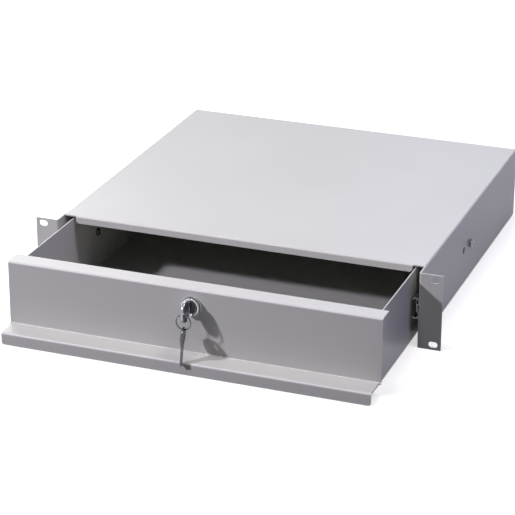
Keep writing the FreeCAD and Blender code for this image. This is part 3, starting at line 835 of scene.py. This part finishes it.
def bow_oval(margin, first, last, steps):
    """Points round the bow's oval, drawn in by a margin, between two angles in degrees."""
    points = []
    for index in range(steps + 1):
        angle = math.radians(first + (last - first) * index / steps)
        points.append((
            BOW_MIDDLE + (BOW_HALF_LENGTH - margin) * math.cos(angle),
            (BOW_HALF_WIDTH - margin) * math.sin(angle),
        ))
    return points


def key_outline():
    """The key's edge, from the shoulder's upper corner round the bow and back along the blade."""
    meet = math.degrees(math.asin(COLLAR_HALF / BOW_HALF_WIDTH))
    collar_side = COLLAR_HALF - COLLAR_CHAMFER
    outline = [(0.0, BLADE_HALF), (0.0, collar_side), (-COLLAR_CHAMFER, COLLAR_HALF)]
    outline += bow_oval(0.0, meet, 360.0 - meet, 72)
    outline += [(-COLLAR_CHAMFER, -COLLAR_HALF), (0.0, -collar_side), (0.0, -BLADE_HALF)]
    outline += [(BLADE_LENGTH - BLADE_HALF, -BLADE_HALF), (BLADE_LENGTH - 0.5 * MM, -0.5 * MM)]
    outline += [(BLADE_LENGTH, 0.3 * MM), (BLADE_LENGTH - BLADE_HALF / 2, BLADE_HALF)]
    pitch = (BLADE_LENGTH - BLADE_HALF) / (len(KEY_BITES) + 1)
    for index, depth in enumerate(KEY_BITES):
        place = BLADE_LENGTH - BLADE_HALF - pitch * (index + 0.5)
        low = BLADE_HALF - depth
        outline += [(place + 0.8 * MM, BLADE_HALF), (place + 0.3 * MM, low)]
        outline += [(place - 0.3 * MM, low), (place - 0.8 * MM, BLADE_HALF)]
    return outline


def cabinet_key(name, frame_at):
    """Flat key: bow with a raised rim and a boss round its hole, grooved and notched blade."""
    at = frame_at @ KEY_AXES
    blank = prism(name, key_outline(), -KEY_HALF, KEY_HALF, at)
    hole_at = at @ Matrix.Translation((KEY_HOLE_PLACE, 0, 0))
    cuts = []
    for side in (-1, 1):
        near, far = sorted((side * (KEY_HALF - BOW_POCKET), side * (KEY_HALF + 0.4 * MM)))
        pocket = prism("pocket", bow_oval(BOW_RIM, 0.0, 355.0, 71), near, far, at)
        boss_path = [
            (0.0, near - MM),
            (BOW_BOSS_RADIUS, near - MM),
            (BOW_BOSS_RADIUS, far + MM),
            (0.0, far + MM),
        ]
        cuts.append(carved(pocket, [turned("boss", boss_path, hole_at, 48)]))
    # One groove a side: its lower and upper edge, and from where to where it runs across.
    for low_up, high_up, near, far in (
        (-1.35 * MM, 0.95 * MM, 0.62 * MM, 1.5 * MM),
        (0.60 * MM, 2.15 * MM, -1.5 * MM, -0.66 * MM),
    ):
        ends = (-1.2 * MM, BLADE_LENGTH + MM)
        corners = [
            (ends[0], low_up),
            (ends[1], low_up),
            (ends[1], high_up),
            (ends[0], high_up),
        ]
        cuts.append(prism("groove", corners, near, far, at))
    bore_end = 3 * MM
    bore_path = [
        (0.0, -bore_end),
        (KEY_HOLE_RADIUS, -bore_end),
        (KEY_HOLE_RADIUS, bore_end),
        (0.0, bore_end),
    ]
    cuts.append(turned("bore", bore_path, hole_at, 40))
    carved(blank, cuts)
    return softened(blank, KEY_EDGE)


key_high = box("key")[1]
key_shoulder = (lock_middle.x, key_high.y - BLADE_LENGTH, lock_middle.z)
lock_key = cabinet_key("cabinet_key", Matrix.Translation(key_shoulder))
finished(lock_key, "key_in_lock", "key_nickel", nickel, "key")

RING_RADIUS = 8.2 * MM
WIRE_RADIUS = 0.65 * MM
RING_GAP = 0.2 * MM
RING_STEPS = 180            # along both turns
SPARE_TURN = math.radians(12.0)
SPARE_TILT = math.radians(12.0)
ring_low, ring_high = box("key_ring")
ring_middle = (ring_low + ring_high) / 2
spare_at = (
    Matrix.Translation((ring_middle.x, ring_middle.y, ring_middle.z - RING_RADIUS))
    @ Matrix.Rotation(-SPARE_TILT, 4, "X")
    @ Matrix.Rotation(SPARE_TURN, 4, "Z")
    @ Matrix.Translation((0, 0, WIRE_RADIUS + RING_GAP - KEY_HOLE_RADIUS))
    @ Matrix.Rotation(-math.pi / 2, 4, "X")
    @ Matrix.Translation((0, -KEY_HOLE_PLACE, 0))
)
spare_key = cabinet_key("cabinet_key_spare", spare_at)
finished(spare_key, "key_on_ring", "key_nickel", spare_nickel_painted_reflection, "spare_key")


def split_ring():
    """Two turns of flattened wire side by side, with one short crossing between them."""
    shift = 0.315 * MM      # from the ring's middle plane to each turn's
    half_width = 0.305 * MM     # of the wire's section, along the ring's axis
    half_height = 0.56 * MM     # and away from it
    crossing = math.radians(20.0)
    place = math.radians(-40.0)     # where round the ring the wire crosses over
    corner = 0.14 * MM
    section = []
    for a, b in ((1, 1), (-1, 1), (-1, -1), (1, -1)):
        start = math.atan2(b, a) - math.pi / 4
        for index in range(3):
            angle = start + index * math.pi / 4
            section.append((
                a * (half_height - corner) + corner * math.cos(angle),
                b * (half_width - corner) + corner * math.sin(angle),
            ))
    build = bmesh.new()
    start, end = crossing * 1.1, 4 * math.pi - crossing * 1.1
    rings = []
    for index in range(RING_STEPS + 1):
        turn = start + (end - start) * index / RING_STEPS
        share = max(-1.0, min(1.0, (turn - 2 * math.pi) / crossing))
        across = shift * math.sin(share * math.pi / 2)
        angle = turn + place
        out = Vector((math.cos(angle), 0, math.sin(angle)))
        centre = ring_middle + out * RING_RADIUS + Vector((0, across, 0))
        rings.append([build.verts.new(centre + out * a + Vector((0, b, 0))) for a, b in section])
    count = len(section)
    for one, two in zip(rings, rings[1:]):
        for index in range(count):
            after = (index + 1) % count
            build.faces.new((one[index], one[after], two[after], two[index]))
    build.faces.new(rings[0][::-1])
    build.faces.new(rings[-1])
    return new_object("split_ring", build)


finished(split_ring(), "ring", "ring_steel", ring_steel, "key_ring")

# ---- Floor, light and camera -----------------------------------------------------------------

FLOOR_Z = CAD_BOUNDS[0][2] - 0.2 * MM
FLOOR_HALF = 12.0
FLOOR_DARK = 0.80
FLOOR_LIGHT = 0.82
FLOOR_TONE_SCALE = 3.0
FLOOR_LIFT = 0.62           # round the drawer; it grows to full white further out
LIFT_NEAR = 0.9
LIFT_FAR = 2.2
TABLE_DARK = 0.11           # what the floor throws on as light, so that it fills little
TABLE_LIGHT = 0.13


def backdrop_rays(tree):
    """1 for the rays that show the backdrop: camera, mirror and glass rays."""
    paths = tree.nodes.new("ShaderNodeLightPath")
    total = paths.outputs["Is Camera Ray"]
    for kind in ("Is Glossy Ray", "Is Transmission Ray"):
        either = tree.nodes.new("ShaderNodeMath")
        either.operation = "MAXIMUM"
        link(tree, total, either.inputs[0])
        link(tree, paths.outputs[kind], either.inputs[1])
        total = either.outputs[0]
    return total


def white_floor():
    """Pale floor that keeps the shadow, lifted to white only where it is seen as a backdrop."""
    material, tree, output = material_nodes("floor_white")
    seen = backdrop_rays(tree)
    tone = noise(tree, object_coordinates(tree), FLOOR_TONE_SCALE)
    pale = tree.nodes.new("ShaderNodeBsdfDiffuse")
    link(tree, spread(tree, tone, grey(FLOOR_DARK), grey(FLOOR_LIGHT)), pale.inputs["Color"])
    distance = tree.nodes.new("ShaderNodeVectorMath")
    distance.operation = "LENGTH"
    link(tree, object_coordinates(tree), distance.inputs[0])
    strength = tree.nodes.new("ShaderNodeMapRange")
    strength.inputs["From Min"].default_value = LIFT_NEAR
    strength.inputs["From Max"].default_value = LIFT_FAR
    strength.inputs["To Min"].default_value = FLOOR_LIFT
    strength.inputs["To Max"].default_value = 1.0
    link(tree, distance.outputs["Value"], strength.inputs["Value"])
    lift = tree.nodes.new("ShaderNodeEmission")
    lift.inputs["Color"].default_value = (1, 1, 1, 1)
    link(tree, strength.outputs[0], lift.inputs["Strength"])
    shown = tree.nodes.new("ShaderNodeAddShader")
    link(tree, pale.outputs[0], shown.inputs[0])
    link(tree, lift.outputs[0], shown.inputs[1])
    table = tree.nodes.new("ShaderNodeBsdfDiffuse")
    link(tree, spread(tree, tone, grey(TABLE_DARK), grey(TABLE_LIGHT)), table.inputs["Color"])
    mix = tree.nodes.new("ShaderNodeMixShader")
    link(tree, seen, mix.inputs["Fac"])
    link(tree, table.outputs[0], mix.inputs[1])
    link(tree, shown.outputs[0], mix.inputs[2])
    link(tree, mix.outputs[0], output.inputs["Surface"])
    return material


floor_mesh = bpy.data.meshes.new("floor")
floor_build = bmesh.new()
bmesh.ops.create_grid(floor_build, x_segments=8, y_segments=8, size=FLOOR_HALF)
floor_build.to_mesh(floor_mesh)
floor_build.free()
floor = bpy.data.objects.new("floor", floor_mesh)
floor.location = (0, 0, FLOOR_Z)
bpy.context.scene.collection.objects.link(floor)
floor_mesh.materials.append(white_floor())

AMBIENT_COLOUR = (0.70, 0.68, 1.0, 1)
AMBIENT_STRENGTH = 0.045

world = bpy.data.worlds.new("studio")
bpy.context.scene.world = world
world.use_nodes = True
world_tree = world.node_tree
world_tree.nodes.clear()
world_output = world_tree.nodes.new("ShaderNodeOutputWorld")
ambient = world_tree.nodes.new("ShaderNodeBackground")
ambient.inputs["Color"].default_value = AMBIENT_COLOUR
ambient.inputs["Strength"].default_value = AMBIENT_STRENGTH
white = world_tree.nodes.new("ShaderNodeBackground")
white.inputs["Color"].default_value = (1, 1, 1, 1)
white.inputs["Strength"].default_value = 1.0
mix = world_tree.nodes.new("ShaderNodeMixShader")
link(world_tree, backdrop_rays(world_tree), mix.inputs["Fac"])
link(world_tree, ambient.outputs[0], mix.inputs[1])
link(world_tree, white.outputs[0], mix.inputs[2])
link(world_tree, mix.outputs[0], world_output.inputs["Surface"])


def area_light(name, place, aim, size, power, colour, bounces):
    """A soft square light; few bounces keep the inside darker than real light would leave it."""
    data = bpy.data.lights.new(name, "AREA")
    data.shape = "RECTANGLE"
    data.size = size
    data.size_y = size
    data.energy = power
    data.color = colour
    data.cycles.max_bounces = bounces
    light = bpy.data.objects.new(name, data)
    light.location = place
    direction = Vector(aim) - Vector(place)
    light.rotation_euler = direction.to_track_quat("-Z", "Y").to_euler()
    bpy.context.scene.collection.objects.link(light)


CASING_MIDDLE = (0.0, 0.1, 0.0)
OPEN_DRAWER = (0.0, -0.075, 0.0)
OPEN_DRAWER_RIGHT = (0.24, -0.06, 0.0)
LOCK_SIDE = (0.03, -0.128, 0.0)
# A small key from the left, soft light over the open drawer, two lamps behind for the top and a
# faint cool one for the right side: name, place, aim, size, watts, colour and bounces.
# Watts and colours began as a scratch fit of test renders to the photograph's tones and were then
# changed by hand, so they suit this one view and are not plain studio lamps.
LAMPS = (
    ("key", (-1.234, -1.295, 1.144), LOCK_SIDE, 0.13, 27.6, (0.90, 0.868, 1.0), 1),
    ("over_right", (0.8, -0.2, 1.9), OPEN_DRAWER_RIGHT, 0.5, 9.6, (1.0, 0.94, 0.84), 2),
    ("over_middle", (0.0, -0.25, 1.3), OPEN_DRAWER, 0.3, 6.0, (0.84, 0.81, 0.92), 2),
    ("back_left", (-1.274, 1.374, 1.262), CASING_MIDDLE, 1.0, 18.4, (0.95, 0.955, 0.92), 2),
    ("back", (0.0, 1.902, 1.262), CASING_MIDDLE, 1.0, 9.6, (0.60, 0.68, 1.0), 2),
    ("side_right", (2.0, 0.1, 0.9), CASING_MIDDLE, 1.0, 4.0, (0.26, 0.24, 1.0), 2),
)
for lamp in LAMPS:
    area_light(*lamp)

# Place, angles and focal length come from a scratch fit of the object's corners to the photograph.
CAMERA_PLACE = (0.7807909, -2.0156184, 0.933214)
CAMERA_AZIMUTH = math.radians(20.4709)
CAMERA_ELEVATION = math.radians(22.688)
CAMERA_ROLL = math.radians(0.2018)
SENSOR = 36.0
FOCAL_IN_WIDTHS = 4.09704466    # focal length over the picture's width
CLIP_START = 0.05
CLIP_END = 50.0

camera_data = bpy.data.cameras.new("camera")
camera_data.sensor_width = SENSOR
camera_data.sensor_fit = "HORIZONTAL"
camera_data.lens = FOCAL_IN_WIDTHS * SENSOR
camera_data.clip_start = CLIP_START
camera_data.clip_end = CLIP_END
camera = bpy.data.objects.new("camera", camera_data)
forward = Vector((
    -math.sin(CAMERA_AZIMUTH) * math.cos(CAMERA_ELEVATION),
    math.cos(CAMERA_AZIMUTH) * math.cos(CAMERA_ELEVATION),
    -math.sin(CAMERA_ELEVATION),
))
level = Vector((math.cos(CAMERA_AZIMUTH), math.sin(CAMERA_AZIMUTH), 0))
upright = level.cross(forward)
right = level * math.cos(CAMERA_ROLL) + upright * math.sin(CAMERA_ROLL)
up = upright * math.cos(CAMERA_ROLL) - level * math.sin(CAMERA_ROLL)
turn = Matrix((right, up, -forward)).transposed()
camera.matrix_world = Matrix.Translation(CAMERA_PLACE) @ turn.to_4x4()
bpy.context.scene.collection.objects.link(camera)
bpy.context.scene.camera = camera
bpy.context.scene.view_settings.view_transform = "Standard"
